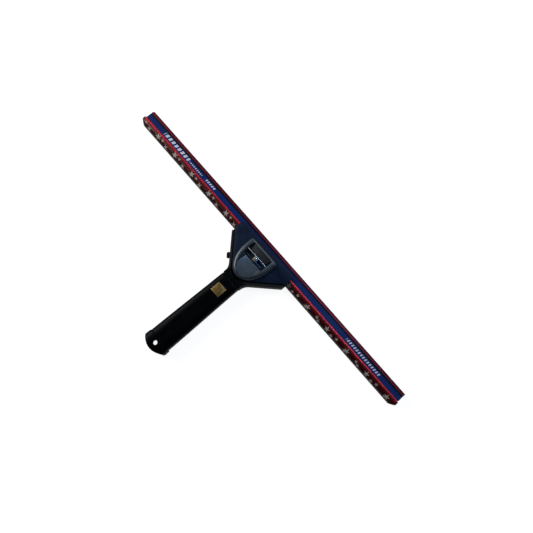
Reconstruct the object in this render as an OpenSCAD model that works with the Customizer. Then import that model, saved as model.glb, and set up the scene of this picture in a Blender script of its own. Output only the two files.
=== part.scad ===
/* [Blade] */
// Length across both end plugs
blade_len = 457; // [300:1:560]
// Depth of the channel, from its front lip to its back
channel_w = 19.4; // [18:0.2:26]
// Height of the channel
channel_h = 9.2; // [8.6:0.1:12]
// How far the rubber stands out past the front lip
rubber_out = 2; // [1.5:0.1:6]
// Thickness of the rubber strip
rubber_t = 2; // [1.4:0.1:2.4]
// Diameter of the bead that holds the rubber in the channel
bead_d = 4.6; // [4:0.1:5]
// Width of the front lip on top of the channel
lip_w = 2.2; // [1.6:0.1:3]
// Width of the coloured label strip
label_w = 7.4; // [6:0.1:8]
// Height of the round ridge behind the label
ridge_h = 0.9; // [0.5:0.1:1.4]

/* [Jaw] */
// Width of the jaw plate
plate_w = 91; // [70:1:120]
// Thickness of the jaw plate
plate_t = 3.6; // [3:0.1:5]
// Length of the jaw plate's straight sides
plate_side = 12; // [9:0.5:16]
// Width of the jaw plate's narrow tail
plate_tail_w = 29.6; // [26:0.2:36]
// Width of the thumb lever
lever_w = 45; // [40:0.5:52]
// Length of the thumb lever
lever_len = 45.2; // [40:0.2:52]
// Height of the thumb lever above the jaw plate
lever_h = 4.4; // [3.5:0.1:6]
// Diameter of the hinge pin
pin_d = 3; // [2:0.1:4]

/* [Handle] */
// Thickness of the lower jaw under the channel
floor_t = 3.6; // [3:0.1:5]
// Width of the rim around the jaw plate
rim_w = 3; // [2:0.1:4]
// Length of the grip sleeve
grip_len = 105; // [80:1:140]
// Width of the grip next to the head
grip_w = 27.4; // [24:0.2:34]
// Width of the grip at its far end
grip_end_w = 30.6; // [27:0.2:36]
// Height of the grip
grip_h = 21; // [19:0.5:26]
// Length of the end cap
cap_len = 15.4; // [14:0.2:26]
// Width of the end cap
cap_w = 32.6; // [31:0.2:40]
// Diameter of the hanging hole
hang_d = 5.4; // [5:0.1:9]
// Side of the square badge
badge_w = 12.8; // [8:0.2:16]
// Diameter of the lock knob
lock_d = 7.6; // [6:0.2:9]

/* [Fits] */
// Gap between the clamped channel and the jaws
clamp_gap = 0.2; // [0.1:0.05:0.3]
// Radial clearance of a pin that turns or slides
run_gap = 0.05; // [0.02:0.01:0.1]
// Clearance around parts that are pushed together by hand
hand_gap = 0.15; // [0.1:0.05:0.3]
// Gap between the jaw plate and the rim beside it
rim_gap = 1; // [0.9:0.1:1.6]

/* [Hidden] */

// Every depth d is measured back from the front edge of the rubber, and y_at(d) is its place on Y
pad_t = 1.2;
pad_sunk = 0.4;
slim = 0.01;

// Channel section
lip_d = rubber_out;
groove_w = 0.8;
groove_deep = 1.1;
label_d = lip_d + lip_w + groove_w;
label_t = 0.3;
ridge_r = 1.45;
ridge_d = label_d + label_w + ridge_r;
channel_back = lip_d + channel_w;
channel_z = floor_t + pad_t - pad_sunk + clamp_gap;
channel_top = channel_z + channel_h;
label_z = channel_top - ridge_h;
back_r = channel_back - ridge_d - 1;
back_top = channel_top - 0.3;
rubber_z = channel_z + bead_d / 2 + 1.2;
bead_gap = 0.2;
slot_half = (rubber_t + bead_gap) / 2;
bead_at = lip_d + 7;
lower_lip_back = 1;
chamber_d = bead_at + bead_d / 2 + bead_gap + 1.5;
chamber_end = channel_back - 1.8;
chamber_lo = channel_z + 1.2;
chamber_hi = channel_top - 2.6;
chamber_r = 2;

// End plugs
plug_flange = 1.5;
plug_reach = 12;
channel_len = blade_len - 2 * plug_flange;
rubber_len = blade_len - 1;
corner_x = 6;
corner_y = 3.8;

// Jaw plate, set back so that it covers the channel from behind
plate_d = label_d + 3.7;
taper_d = plate_d + plate_side;
tail_d = taper_d + (plate_w - plate_tail_w) / 2;
plate_z = channel_top + clamp_gap;
plate_top = plate_z + plate_t;
lever_d = plate_d + 4.4;
lever_back = lever_d + lever_len;
lever_top = plate_top + lever_h;
lever_straight = 11.6;
window_w = 30.4;
window_front = 2.6;
window_len = 16.8;
window_end = lever_d + window_front + window_len;
dish_r = 27;
dish_d = lever_d + 30.4;
dish_deep = 3.1;
skirt_drop = 4;

// Clip and its screw
clip_t = 0.8;
clip_d = lever_d + 12.2;
clip_foot = 6;
clip_foot_w = 5.6;
clip_hem = 0.9;
clip_slot_deep = 2;
clip_slot_in = clip_foot_w / 2 + 0.6;
clip_slot_half = (window_w / 2 - 0.4 - clip_slot_in) / 2;
clip_up = 3.4;
clip_screw_at = clip_d + 3.8;
clip_screw_r = 1.5;
clip_head_r = 2.7;
clip_head_h = 1.7;
nut_af = 5.5;
nut_h = 2.4;

// Frame
frame_w = plate_w;
shoulder_d = channel_back + 0.4;
shoulder_t = 2.8;
rim_out = (rim_w + rim_gap) * sqrt(2);
frame_taper_d = taper_d + rim_out;
neck_half = grip_w / 2 - 0.2;
neck_d = frame_taper_d + frame_w / 2 - neck_half;
neck_curve = 14;
neck_run = neck_curve * tan(22.5);
neck_end = max(neck_d + neck_run + 1.5, lever_back + 6);
rim_top = plate_z + 1.5;
neck_top = plate_top;
front_d = plate_d - 1;
pocket_gap = 2.2;
pocket_z = plate_z - 5;
tang_w = 15;
tang_lo = 4;
tang_hi = grip_h - 4.5;

// Hinge
pivot_d = clip_screw_at + 6.1;
pivot_z = plate_z - 4.5;
ear_x = 14;
ear_t = 4;
ear_r = 3.4;
lug_t = 4;
lug_x = ear_x + ear_t / 2 + 0.6 + lug_t / 2;
pin_len = 2 * (lug_x + lug_t / 2);
open_deg = 6;
open_drop = (tail_d - pivot_d) * sin(open_deg);

// Spring
spring_d = 9.4;
wire_d = 1.2;
spring_at = tail_d - 6;
spring_seat = 1;
spring_lo = floor_t - spring_seat;
spring_hi = plate_z - 0.05;
spring_turns = 4.5;

// Lock knob, square to the left flank: the places are measured inwards from the flank's face
lock_at = tail_d - 4.8;
lock_x = frame_w / 2 + frame_taper_d - lock_at;
lock_z = floor_t + lock_d / 2 + 0.1;
lock_out = 3.8;
lock_travel = 1.5;
lock_chamfer = 0.8;
stem_r = 2;
lock_tip = 5.6;
lock_guide_in = 5;
lock_guide_half = lock_d / 2 + 0.6;
lock_guide_top = min(lock_z + lock_guide_half, plate_z - open_drop - 0.3);
lock_rib_at = lock_tip + 0.3;
lock_rib_len = 2;
lock_rib_half = 1.5;
ring_r = 0.42;
ring_at = 3.9;

// Grip and end cap
grip_d = neck_end;
cap_d = grip_d + grip_len;
overall_len = cap_d + cap_len;
grip_r = 6;
badge_d = grip_d + 12;
badge_t = 1.2;
badge_sunk = 0.8;
recess_d = grip_d + 54.4;
recess_len = grip_len - 57.2;
recess_w = 10;
recess_deep = 0.5;
nib_r = 1.2;
hang_at = cap_d + 6.2;
cap_flare = 3;
cap_waist = 0.5;
cap_arc = 6;
hang_web = 6;
hang_lip = 2.1;
hang_reach = 2.5;
hang_hollow_r = hang_d / 2 + hang_lip;
spigot_len = 15;
spigot_w = 9;
spigot_lo = tang_lo + 3;
spigot_hi = tang_hi - 3;
cap_screw_at = cap_d - 8;
cap_screw_r = 1.5;
cap_head_r = 3;
cap_head_h = 2;

edge_y = overall_len / 2;
function y_at(d) = edge_y - d;
function ring(r, n) = [for (i = [0:n - 1]) r * [cos(360 * i / n), sin(360 * i / n)]];

// Extrudes a section drawn as [Y, Z] along X, centred
module along_x(len) {
    rotate([90, 0, 90]) linear_extrude(len, center = true) children();
}

// A disc across X at a depth and a height, as a section piece
module spot(d, z, r) {
    translate([y_at(d), z]) circle(r, $fn = 48);
}

// A rectangle of a section, from depth d0 to d1 and from z0 to z1
module span(d0, d1, z0, z1) {
    translate([y_at(d1), z0]) square([d1 - d0, z1 - z0]);
}

// A block across X, from depth d0 to d1 and from z0 to z1
module block(half, d0, d1, z0, z1) {
    translate([-half, y_at(d1), z0]) cube([2 * half, d1 - d0, z1 - z0]);
}

// A round pin or bore along X
module x_pin(d, z, r, x0, x1) {
    translate([x0, y_at(d), z]) rotate([0, 90, 0]) cylinder(h = x1 - x0, r = r, $fn = 48);
}

// A round pin or bore along Z
module z_pin(x, d, r, z0, z1) {
    translate([x, y_at(d), z0]) cylinder(h = z1 - z0, r = r, $fn = 48);
}

// Trapezoid of the jaw plate, grown by g on its tapered sides and its tail
module plate_outline(g) {
    half = plate_w / 2;
    tail = plate_tail_w / 2;
    s = g * (sqrt(2) - 1);
    polygon([[-half, y_at(plate_d)], [half, y_at(plate_d)],
             [half, y_at(taper_d + g * sqrt(2))], [tail + s, y_at(tail_d + g)],
             [-tail - s, y_at(tail_d + g)], [-half, y_at(taper_d + g * sqrt(2))]]);
}

// Trapezoid head of the frame, which runs into its neck in a hollow curve
module frame_outline() {
    half = frame_w / 2;
    right = concat([[half, y_at(front_d)], [half, y_at(frame_taper_d)]],
                   [for (a = [45:-9:0])
                    [neck_half + neck_curve * (1 - cos(a)), y_at(neck_d + neck_run - neck_curve * sin(a))]]);
    left = [for (i = [len(right) - 1:-1:0]) [-right[i][0], right[i][1]]];
    polygon(concat(right, left));
}

// Hollow inside the frame's rim, from depth d0 to just behind the jaw plate's tail
module cavity_outline(d0) {
    line = plate_w / 2 + taper_d + rim_gap * sqrt(2);
    back = tail_d + rim_gap;
    half = min(frame_w / 2 - rim_w, line - d0);
    bend = line - half > d0 + slim ? [[half, y_at(line - half)]] : [];
    right = concat([[half, y_at(d0)]], bend, [[line - back, y_at(back)]]);
    left = [for (i = [len(right) - 1:-1:0]) [-right[i][0], right[i][1]]];
    polygon(concat(right, left));
}

// Outline of the thumb lever: a straight front and sides, and a round back, grown by g
module lever_outline(g) {
    half = lever_w / 2 + g;
    d0 = lever_d + lever_straight;
    deep = lever_back - d0 + g;
    polygon(concat([[-half, y_at(lever_d - g)], [half, y_at(lever_d - g)]],
                   [for (a = [0:7.5:180]) [half * cos(a), y_at(d0) - deep * sin(a)]]));
}

// Section of the extruded channel, with its rubber slot and the hollow behind it
module channel_section() {
    difference() {
        union() {
            span(lip_d + lower_lip_back, channel_back - back_r, channel_z, label_z);
            span(lip_d, lip_d + lip_w + groove_w, rubber_z, label_z);
            span(ridge_d, channel_back - back_r, label_z - 1, back_top);
            spot(ridge_d, channel_top - ridge_r, ridge_r);
            spot(channel_back - back_r, back_top - back_r, back_r);
            span(channel_back - back_r, channel_back - 1, channel_z, back_top - back_r);
            span(channel_back - 2, channel_back, channel_z + 1, back_top - back_r);
            spot(channel_back - 1, channel_z + 1, 1);
        }
        span(0, channel_back + 1, channel_z - 2 * back_r, channel_z);
        span(lip_d + lip_w, label_d, label_z - groove_deep, label_z + 1);
        span(label_d - slim, label_d + label_w, label_z - label_t, label_z + 1);
        span(lip_d - 1, bead_at, rubber_z - slot_half, rubber_z + slot_half);
        spot(bead_at, rubber_z, bead_d / 2 + bead_gap);
        chamber_section(0);
    }
}

// The hollow at the back of the channel, drawn in by g
module chamber_section(g) {
    r = chamber_r - g;
    union() {
        for (d = [chamber_d + chamber_r, chamber_end - chamber_r])
            for (z = [chamber_lo + chamber_r, chamber_hi - chamber_r])
                spot(d, z, r);
        span(chamber_d + g, chamber_end - g, chamber_lo + chamber_r, chamber_hi - chamber_r);
        span(chamber_d + chamber_r, chamber_end - chamber_r, chamber_lo + g, chamber_hi - g);
    }
}

// Wedges that cut the back corners of the blade at both ends
module corner_cut() {
    for (side = [-1, 1])
        translate([0, 0, channel_z - 1]) linear_extrude(channel_h + 2)
            polygon([[side * (blade_len / 2 - corner_x), y_at(channel_back)],
                     [side * (blade_len / 2 + 1), y_at(channel_back - corner_y * (1 + 1 / corner_x))],
                     [side * (blade_len / 2 + 1), y_at(channel_back + 1)],
                     [side * (blade_len / 2 - corner_x), y_at(channel_back + 1)]]);
}

module channel() {
    color("firebrick") difference() {
        along_x(channel_len) channel_section();
        corner_cut();
    }
}

module label_strip() {
    color("midnightblue") along_x(channel_len - 0.4)
        span(label_d + 0.05, label_d + label_w - 0.05, label_z - label_t, label_z);
}

module blade_rubber() {
    color("black") along_x(rubber_len) union() {
        span(0, bead_at, rubber_z - rubber_t / 2, rubber_z + rubber_t / 2);
        spot(bead_at, rubber_z, bead_d / 2);
    }
}

// An end plug: a spigot in the hollow and a flange against the channel's end
module end_plug(side) {
    color("black") difference() {
        union() {
            translate([side * (channel_len - plug_reach) / 2, 0, 0]) along_x(plug_reach)
                chamber_section(hand_gap);
            translate([side * (channel_len + plug_flange) / 2, 0, 0]) along_x(plug_flange) difference() {
                union() {
                    span(chamber_d, channel_back - back_r, channel_z, back_top - 1);
                    spot(channel_back - back_r, back_top - back_r, back_r);
                    span(channel_back - back_r, channel_back, channel_z + 1, back_top - back_r);
                    span(chamber_d, channel_back - 1, channel_z, channel_z + 2);
                    spot(channel_back - 1, channel_z + 1, 1);
                }
                span(0, channel_back + 1, channel_z - 2 * back_r, channel_z);
                span(0, chamber_d, channel_z - 1, channel_top + 1);
            }
        }
        corner_cut();
    }
}

module end_plug_left() {
    end_plug(-1);
}

module end_plug_right() {
    end_plug(1);
}

// Lower jaw, rim, neck and the tang that carries the grip, moulded in one
module frame() {
    wall_d = shoulder_d + shoulder_t;
    color("dimgray") difference() {
        union() {
            linear_extrude(rim_top) frame_outline();
            block(neck_half, neck_d + neck_run - 1, neck_end, 0, neck_top);
            block(neck_half, neck_d - 1, neck_d + neck_run, rim_top - 1, neck_top);
            block(tang_w / 2, neck_end - slim, cap_d, tang_lo, tang_hi);
        }
        // trough for the channel
        block(frame_w, 0, shoulder_d, floor_t, plate_top);
        // the shoulder behind the channel stays lower than the jaw plate
        block(frame_w, shoulder_d - slim, wall_d, plate_z - 1, plate_top);
        // room for the hinge, the spring and the jaw plate
        translate([0, 0, floor_t]) linear_extrude(plate_top) cavity_outline(wall_d);
        // room for the back of the thumb lever
        translate([0, 0, pocket_z]) linear_extrude(lever_top) lever_outline(pocket_gap);
        // seats of the pads, the spring and the cap's spigot
        block(plate_w / 2 - 5, front_d + 1.5, channel_back - 1.5, floor_t - pad_sunk, floor_t + 1);
        z_pin(0, spring_at, spring_d / 2 + hand_gap, spring_lo, floor_t + 1);
        block(spigot_w / 2, cap_d - spigot_len, cap_d + 1, spigot_lo, spigot_hi);
        z_pin(0, cap_screw_at, cap_screw_r, tang_lo - 1, spigot_lo + 1);
        lock_bores();
    }
    hinge_lugs();
    lock_guide();
}

// Two lugs that hold the hinge pin
module hinge_lugs() {
    color("dimgray") for (side = [-1, 1]) difference() {
        union() {
            x_pin(pivot_d, pivot_z, ear_r, side * lug_x - lug_t / 2, side * lug_x + lug_t / 2);
            translate([side * lug_x, 0, 0])
                block(lug_t / 2, pivot_d - ear_r, pivot_d + ear_r, floor_t - slim, pivot_z);
        }
        x_pin(pivot_d, pivot_z, pin_d / 2, side * lug_x - lug_t, side * lug_x + lug_t);
    }
}

// Places its children at the lock: X runs inwards, square to the left flank
module at_lock() {
    translate([-lock_x, y_at(lock_at), lock_z]) rotate([0, 0, 45]) children();
}

// A round pin or bore on the lock's axis
module lock_pin(r, x0, x1) {
    at_lock() translate([x0, 0, 0]) rotate([0, 90, 0]) cylinder(h = x1 - x0, r = r, $fn = 48);
}

// Bore of the lock's stem and the counterbore that takes its knob
module lock_bores() {
    lock_pin(stem_r + run_gap, -1, lock_guide_in + 1);
    lock_pin(lock_d / 2 + hand_gap, -1, lock_travel + 0.8);
}

// Block inside the left flank that guides the lock's stem
module lock_guide() {
    color("dimgray") difference() {
        at_lock() translate([1, -lock_guide_half, floor_t - slim - lock_z])
            cube([lock_guide_in - 1, 2 * lock_guide_half, lock_guide_top - floor_t + slim]);
        lock_bores();
    }
}

// Rounded bar between two places, each [depth, half width, lowest z, highest z]
module rounded_bar(a, b, r) {
    hull() for (e = [a, b], x = [-1, 1], z = [e[2] + r, e[3] - r])
        translate([x * (e[1] - r), y_at(e[0]), z]) rotate([90, 0, 0])
            cylinder(h = slim, r = r, center = true, $fn = 32);
}

module grip_sleeve() {
    top_at = grip_h - badge_sunk;
    color("#181818") difference() {
        rounded_bar([grip_d + slim, grip_w / 2, 0.4, grip_h - 0.4],
                    [cap_d - slim, grip_end_w / 2, 0, grip_h], grip_r);
        block(tang_w / 2 + hand_gap, grip_d - 1, cap_d + 1, tang_lo - hand_gap, tang_hi + hand_gap);
        block(badge_w / 2 + 0.1, badge_d, badge_d + badge_w + 0.2, top_at, grip_h + 1);
        translate([0, 0, grip_h - recess_deep]) linear_extrude(2) recess_outline();
        z_pin(0, cap_screw_at, cap_head_r, -1, cap_head_h);
        z_pin(0, cap_screw_at, cap_screw_r, -1, tang_lo + 1);
    }
    color("#181818") z_pin(0, cap_d - 0.1 - nib_r, nib_r, grip_h - 1.2, grip_h + 0.4);
}

// Long rounded recess on top of the grip
module recess_outline() {
    r = recess_w / 2;
    for (d = [recess_d + r, recess_d + recess_len - r])
        translate([0, y_at(d)]) circle(r, $fn = 48);
    translate([-r, y_at(recess_d + recess_len - r)]) square([recess_w, recess_len - recess_w]);
}

module badge() {
    color("goldenrod") block(badge_w / 2, badge_d + 0.1, badge_d + badge_w + 0.1,
                             grip_h - badge_sunk, grip_h - badge_sunk + badge_t);
}

// Outline of the end cap: it flares out of the grip and ends in an arc between two corners
module cap_outline() {
    half = cap_w / 2;
    root = grip_end_w / 2;
    arc_r = (half * half + cap_arc * cap_arc) / (2 * cap_arc);
    span = asin(half / arc_r);
    polygon(concat([[-root, y_at(cap_d)], [root, y_at(cap_d)], [half - cap_waist, y_at(cap_d + cap_flare)]],
                   [for (i = [-12:12]) let (a = -i * span / 12)
                    [arc_r * sin(a), y_at(cap_d + cap_len) + arc_r * (1 - cos(a))]],
                   [[-half + cap_waist, y_at(cap_d + cap_flare)]]));
}

module end_cap() {
    color("black") difference() {
        union() {
            linear_extrude(grip_h) cap_outline();
            block(spigot_w / 2 - hand_gap, cap_d - spigot_len + 0.3, cap_d + 1,
                  spigot_lo + hand_gap, spigot_hi - hand_gap);
        }
        z_pin(0, hang_at, hang_d / 2, -1, grip_h + 1);
        // the hollow under the hanging hole is longer than wide
        for (side = [-1, 1])
            z_pin(side * hang_reach, hang_at, hang_hollow_r, -1, grip_h - hang_web);
        block(hang_reach, hang_at - hang_hollow_r, hang_at + hang_hollow_r, -1, grip_h - hang_web);
        z_pin(0, cap_screw_at, cap_screw_r, spigot_lo - 1, spigot_hi - 2);
    }
}

module cap_screw() {
    color("silver") difference() {
        union() {
            z_pin(0, cap_screw_at, cap_head_r, 0.4, cap_head_h);
            z_pin(0, cap_screw_at, cap_screw_r, cap_head_h - slim, spigot_hi - 2.5);
        }
        block(0.45, cap_screw_at - 2, cap_screw_at + 2, 0, 1.2);
        block(2, cap_screw_at - 0.45, cap_screw_at + 0.45, 0, 1.2);
    }
}

module hinge_pin() {
    color("silver") x_pin(pivot_d, pivot_z, pin_d / 2, -pin_len / 2, pin_len / 2);
}

module base_pad() {
    color("black") block(plate_w / 2 - 5.1, front_d + 1.6, channel_back - 1.6, floor_t - pad_sunk,
                         floor_t - pad_sunk + pad_t);
}

// Compression spring as a swept round wire
module jaw_spring() {
    steps = 16 * spring_turns;
    sides = 8;
    r = (spring_d - wire_d) / 2;
    rise = spring_hi - spring_lo - wire_d;
    low = spring_lo + wire_d / 2;
    centre = [0, y_at(spring_at), low];
    points = [for (i = [0:steps], p = ring(wire_d / 2, sides))
              let (a = 360 * spring_turns * i / steps, out = r + p[0])
              centre + [out * cos(a), out * sin(a), rise * i / steps + p[1]]];
    faces = concat([[for (j = [0:sides - 1]) j]],
                   [for (i = [0:steps - 1], j = [0:sides - 1]) let (k = (j + 1) % sides)
                    [i * sides + j, (i + 1) * sides + j, (i + 1) * sides + k, i * sides + k]],
                   [[for (j = [sides - 1:-1:0]) steps * sides + j]]);
    color("silver") polyhedron(points, faces, convexity = 6);
}

// Upper jaw: a flat plate with two ears on the hinge pin and a rib over the lock
module jaw_plate() {
    color("#1b2230") difference() {
        union() {
            translate([0, 0, plate_z]) linear_extrude(plate_t) plate_outline(0);
            for (side = [-1, 1]) translate([side * ear_x, 0, 0]) {
                x_pin(pivot_d, pivot_z, ear_r, -ear_t / 2, ear_t / 2);
                block(ear_t / 2, pivot_d - ear_r, pivot_d + ear_r, pivot_z, plate_z + 1);
            }
            at_lock() translate([lock_rib_at, -lock_rib_half, stem_r + 0.15])
                cube([lock_rib_len, 2 * lock_rib_half, plate_z + 1 - lock_z - stem_r - 0.15]);
            z_pin(0, spring_at, spring_d / 2 - wire_d - 0.4, plate_z - 2, plate_z + 1);
        }
        for (side = [-1, 1]) translate([side * ear_x, 0, 0])
            x_pin(pivot_d, pivot_z, pin_d / 2 + run_gap, -ear_t, ear_t);
        z_pin(0, clip_screw_at, clip_screw_r, plate_z - 1, plate_top + 1);
        block(nut_af / 2, clip_screw_at - nut_af / 2, clip_screw_at + nut_af / 2, plate_z - 1,
              plate_z + nut_h / 2);
        block(plate_w / 2 - 3, plate_d + 0.8, ridge_d - ridge_r - 0.4, plate_z - 1, plate_z + pad_sunk);
        // slots on both sides of the clip's foot
        for (side = [-1, 1]) translate([side * (clip_slot_in + clip_slot_half), 0, 0])
            block(clip_slot_half, clip_d + clip_t + 0.1, window_end - 0.2, plate_top - clip_slot_deep,
                  plate_top + 1);
    }
}

module jaw_pad() {
    color("black") block(plate_w / 2 - 3.1, plate_d + 0.9, ridge_d - ridge_r - 0.5, label_z + clamp_gap,
                         plate_z + pad_sunk);
}

// Thumb lever: a raised collar with a window at the front and a thumb dish behind it
module thumb_lever() {
    window_d = lever_d + window_front;
    color("slategray") difference() {
        union() {
            translate([0, 0, plate_top]) linear_extrude(lever_h) lever_outline(0);
            translate([0, 0, plate_top - skirt_drop]) linear_extrude(skirt_drop + 1) difference() {
                lever_outline(0);
                translate([-lever_w, y_at(tail_d + 0.3)]) square([2 * lever_w, lever_w * 2]);
            }
        }
        block(window_w / 2, window_d, window_d + window_len, plate_top - 1, lever_top + 1);
        translate([0, y_at(dish_d), lever_top + dish_r - dish_deep]) sphere(dish_r, $fn = 96);
    }
}

// Sprung steel clip: an upright edge, a foot under the brass screw and a hem behind it
module lever_clip() {
    color("silver") difference() {
        union() {
            block(window_w / 2 - 0.2, clip_d, clip_d + clip_t, plate_top, plate_top + clip_up);
            block(clip_foot_w / 2, clip_d, clip_d + clip_foot, plate_top, plate_top + clip_t);
            block(window_w / 2 - 2.6, clip_d + clip_foot - clip_hem, clip_d + clip_foot, plate_top,
                  plate_top + clip_t);
        }
        z_pin(0, clip_screw_at, clip_screw_r, plate_top - 1, plate_top + 2);
    }
}

module clip_screw() {
    head_z = plate_top + clip_t;
    color("goldenrod") difference() {
        union() {
            z_pin(0, clip_screw_at, clip_head_r, head_z, head_z + clip_head_h);
            z_pin(0, clip_screw_at, clip_screw_r, plate_z - nut_h / 2, head_z + slim);
        }
        translate([0, y_at(clip_screw_at), head_z + clip_head_h]) rotate([0, 0, 35])
            cube([8, 0.9, 1.6], center = true);
    }
}

module clip_nut() {
    color("silver") difference() {
        block(nut_af / 2, clip_screw_at - nut_af / 2, clip_screw_at + nut_af / 2, plate_z - nut_h / 2,
              plate_z + nut_h / 2);
        z_pin(0, clip_screw_at, clip_screw_r, plate_z - nut_h, plate_z + nut_h);
    }
}

// Lock knob and its stem: pushed in, the tip lies under the rib of the jaw plate
module lock_button() {
    color("black") difference() {
        union() {
            lock_pin(lock_d / 2, lock_chamfer - lock_out, 0.1);
            at_lock() translate([-lock_out, 0, 0]) rotate([0, 90, 0])
                cylinder(h = lock_chamfer + slim, r1 = lock_d / 2 - lock_chamfer, r2 = lock_d / 2, $fn = 48);
            lock_pin(stem_r, 0, lock_tip);
        }
        at_lock() translate([ring_at, 0, 0]) rotate([0, 90, 0])
            rotate_extrude($fn = 48) translate([stem_r - ring_r, 0]) circle(ring_r + 0.02, $fn = 24);
    }
}

module lock_ring() {
    color("#303030") at_lock() translate([ring_at, 0, 0]) rotate([0, 90, 0])
        rotate_extrude($fn = 48) translate([stem_r - ring_r + 0.02, 0]) circle(ring_r, $fn = 24);
}

frame();
grip_sleeve();
end_cap();
cap_screw();
badge();
hinge_pin();
base_pad();
jaw_spring();
jaw_plate();
thumb_lever();
lever_clip();
clip_screw();
clip_nut();
jaw_pad();
lock_button();
lock_ring();
channel();
label_strip();
blade_rubber();
end_plug_left();
end_plug_right();
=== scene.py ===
"""Looks of a window squeegee: a clamp handle that holds a channel with its rubber."""

import math

import bmesh
import bpy
from mathutils import Matrix, Quaternion, Vector


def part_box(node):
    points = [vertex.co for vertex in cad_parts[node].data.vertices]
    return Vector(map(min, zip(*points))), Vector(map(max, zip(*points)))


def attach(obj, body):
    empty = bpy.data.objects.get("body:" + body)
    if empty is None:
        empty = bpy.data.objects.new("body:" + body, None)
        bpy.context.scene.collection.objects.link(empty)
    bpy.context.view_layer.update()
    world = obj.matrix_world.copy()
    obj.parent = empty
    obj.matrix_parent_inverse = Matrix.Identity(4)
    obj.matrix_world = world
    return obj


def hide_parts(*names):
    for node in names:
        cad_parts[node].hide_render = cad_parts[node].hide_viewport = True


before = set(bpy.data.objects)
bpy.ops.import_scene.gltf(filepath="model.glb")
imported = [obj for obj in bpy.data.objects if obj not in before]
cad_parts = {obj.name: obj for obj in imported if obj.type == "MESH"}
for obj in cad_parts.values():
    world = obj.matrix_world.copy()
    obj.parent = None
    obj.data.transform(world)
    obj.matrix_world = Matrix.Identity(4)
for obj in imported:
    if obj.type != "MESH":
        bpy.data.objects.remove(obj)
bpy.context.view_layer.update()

MM = 0.001

rubber_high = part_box("blade_rubber")[1]
channel_low, channel_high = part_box("channel")
plate_low, plate_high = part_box("jaw_plate")
lever_low, lever_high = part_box("thumb_lever")
grip_low, grip_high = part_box("grip_sleeve")
cap_low, cap_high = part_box("end_cap")
badge_low, badge_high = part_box("badge")
label_low, label_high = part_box("label_strip")
neck_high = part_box("frame")[1]


def y_at(depth):
    """The place on Y of a depth in millimetres behind the front edge of the rubber."""
    return rubber_high.y - depth * MM


def depth_of(y):
    """The depth in millimetres of a place on Y."""
    return (rubber_high.y - y) / MM


# Where the painted shade on the neck begins, and the half width of its nearly black middle.
NECK_START = y_at(57.5)
SADDLE_SHADE_HALF = 0.0122
# Behind this place the clip's steel is painted dark bluish grey: painted shade with a painted blue glint.
CLIP_PAINTED_GLINT_Y = y_at(30.0)


# ---------------------------------------------------------------- camera, lamps and floor

def add_camera():
    camera = bpy.data.objects.new("camera", bpy.data.cameras.new("camera"))
    bpy.context.scene.collection.objects.link(camera)
    bpy.context.scene.camera = camera
    place = Vector((0.1083, -0.0281, 0.6453))
    aim = Vector((0.0149, 0.0689, 0.0180))
    roll = Quaternion((0, 0, 1), math.radians(5.46))
    camera.location = place
    camera.rotation_mode = "QUATERNION"
    camera.rotation_quaternion = (aim - place).to_track_quat("-Z", "Y") @ roll
    camera.data.sensor_width = 36
    camera.data.lens = 37.15
    camera.data.clip_start = 0.01
    camera.data.clip_end = 100


def add_lamp(name, place, aim, size, power, colour=(1, 1, 1)):
    light = bpy.data.lights.new(name, "AREA")
    light.shape = "RECTANGLE"
    light.size, light.size_y = size
    light.energy = power
    light.color = colour
    lamp = bpy.data.objects.new(name, light)
    bpy.context.scene.collection.objects.link(lamp)
    lamp.location = place
    lamp.rotation_mode = "QUATERNION"
    lamp.rotation_quaternion = (Vector(aim) - Vector(place)).to_track_quat("-Z", "Y")


def add_world():
    """White where it is seen. As light it is a dim ceiling over a pale horizon.

    It is darkest to the right, and on the side that the handle points to.
    """
    world = bpy.data.worlds.new("studio")
    bpy.context.scene.world = world
    world.use_nodes = True
    tree = world.node_tree
    tree.nodes.clear()
    place = add_node(tree, "ShaderNodeTexCoord")
    split = add_node(tree, "ShaderNodeSeparateXYZ", {"Vector": place.outputs["Generated"]})
    glow = spread(tree, split.outputs["Z"], 0.0, 0.5, 0.45, 0.08)
    glow = maths(tree, "MULTIPLY", glow, spread(tree, split.outputs["Y"], -0.8, 0.1, 0.3, 1.0))
    glow = maths(tree, "MULTIPLY", glow, spread(tree, split.outputs["X"], -0.4, 0.5, 1.0, 0.4))
    path = add_node(tree, "ShaderNodeLightPath")
    seen = add_node(tree, "ShaderNodeMix", {"Factor": path.outputs["Is Camera Ray"], "A": glow, "B": 1.0},
                    data_type="FLOAT")
    sky = add_node(tree, "ShaderNodeBackground", {"Color": (1, 1, 1, 1), "Strength": seen.outputs["Result"]})
    out = add_node(tree, "ShaderNodeOutputWorld")
    tree.links.new(sky.outputs["Background"], out.inputs["Surface"])


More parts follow.
